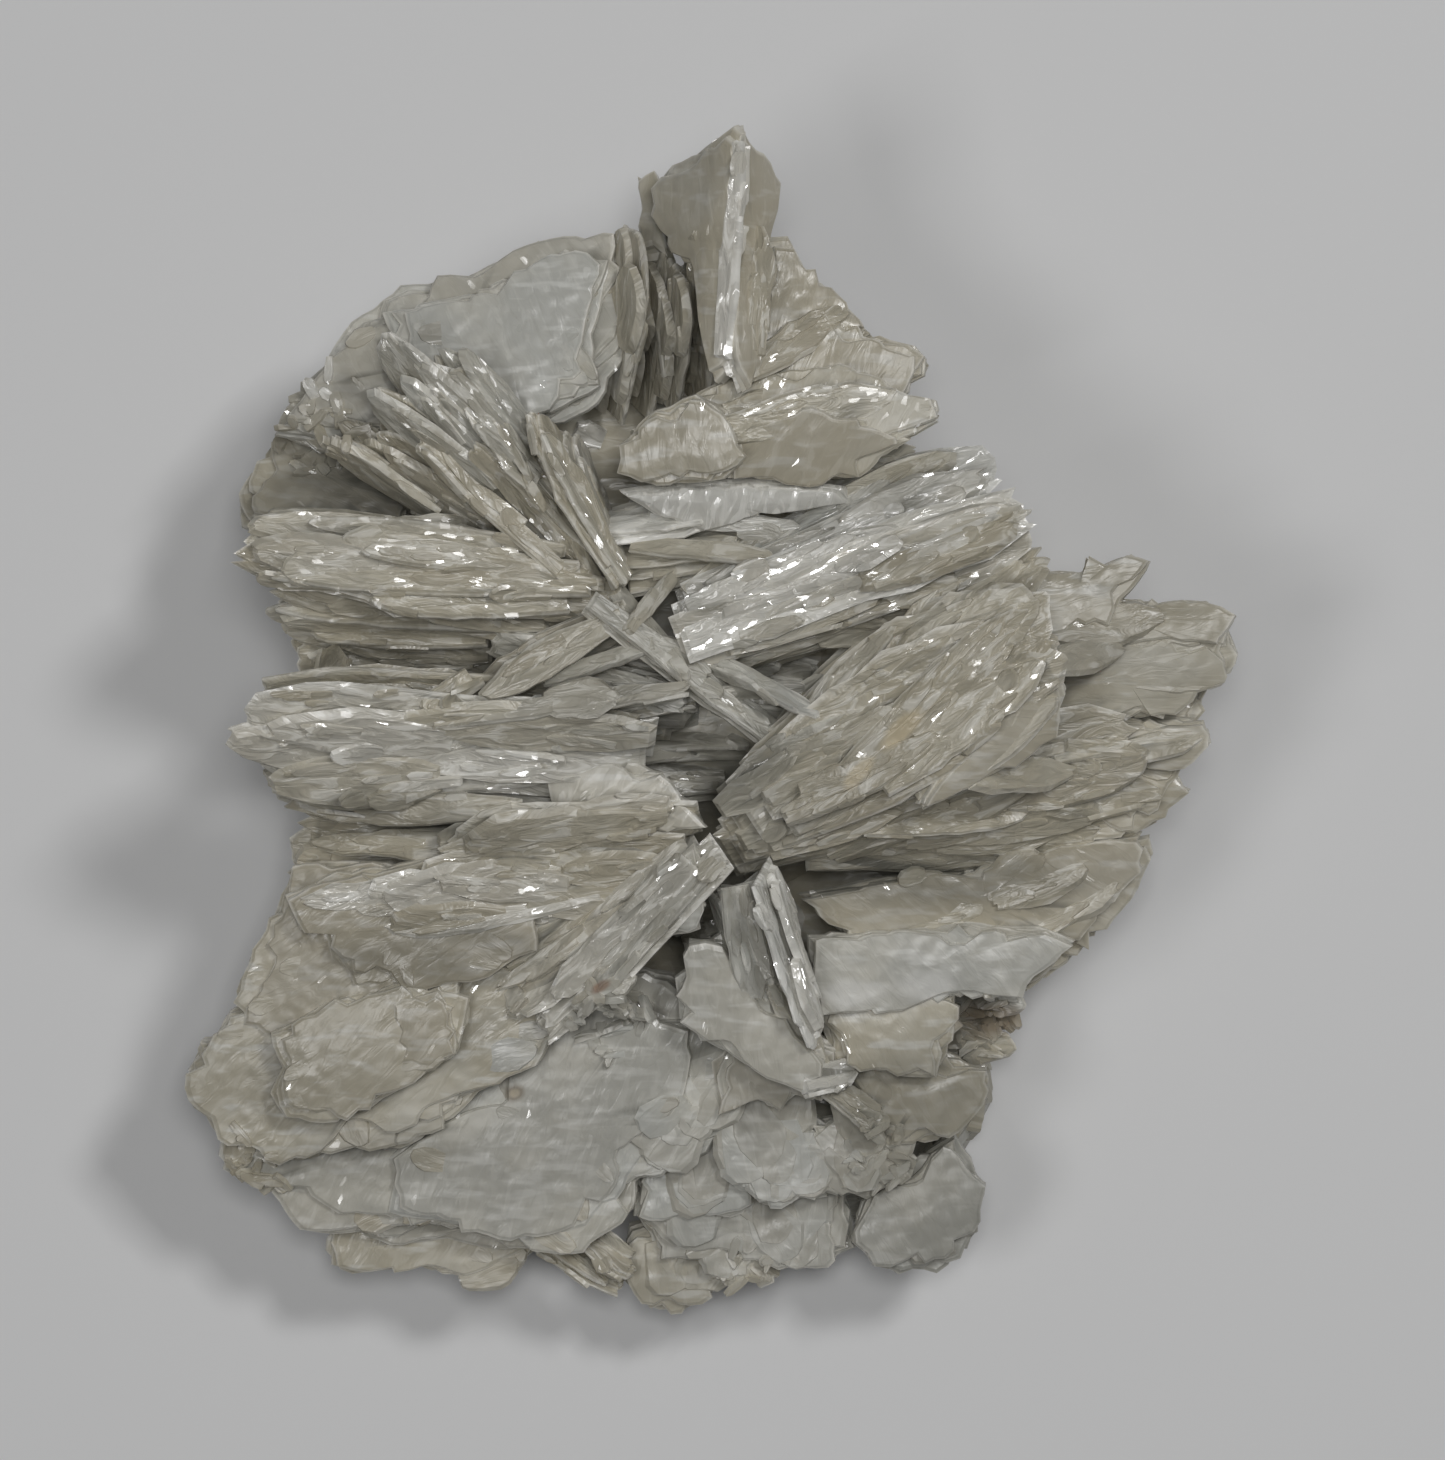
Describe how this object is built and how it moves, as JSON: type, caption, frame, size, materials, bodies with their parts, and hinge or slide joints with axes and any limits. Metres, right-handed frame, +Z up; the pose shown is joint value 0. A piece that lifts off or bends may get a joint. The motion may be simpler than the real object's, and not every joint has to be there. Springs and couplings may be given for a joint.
{
  "type": "barite crystal cluster",
  "caption": "Cluster of bladed barite: thin pale tabular crystals fanning out in open rosettes over a broken flat base.",
  "frame": {"origin": "centre of the bounding box at the flat underside that the cluster rests on", "axes": "+Z up through the rosettes, +Y along the longest side towards the pointed crystal, +X to the right seen from above"},
  "size_m": [0.0594, 0.067, 0.0277],
  "materials": {
    "barite": "translucent grey-beige barite, glossy on the cleavage faces and frosted on the rims"
  },
  "bodies": {
    "root": {"barite_cluster": "barite"}
  },
  "joints": []
}
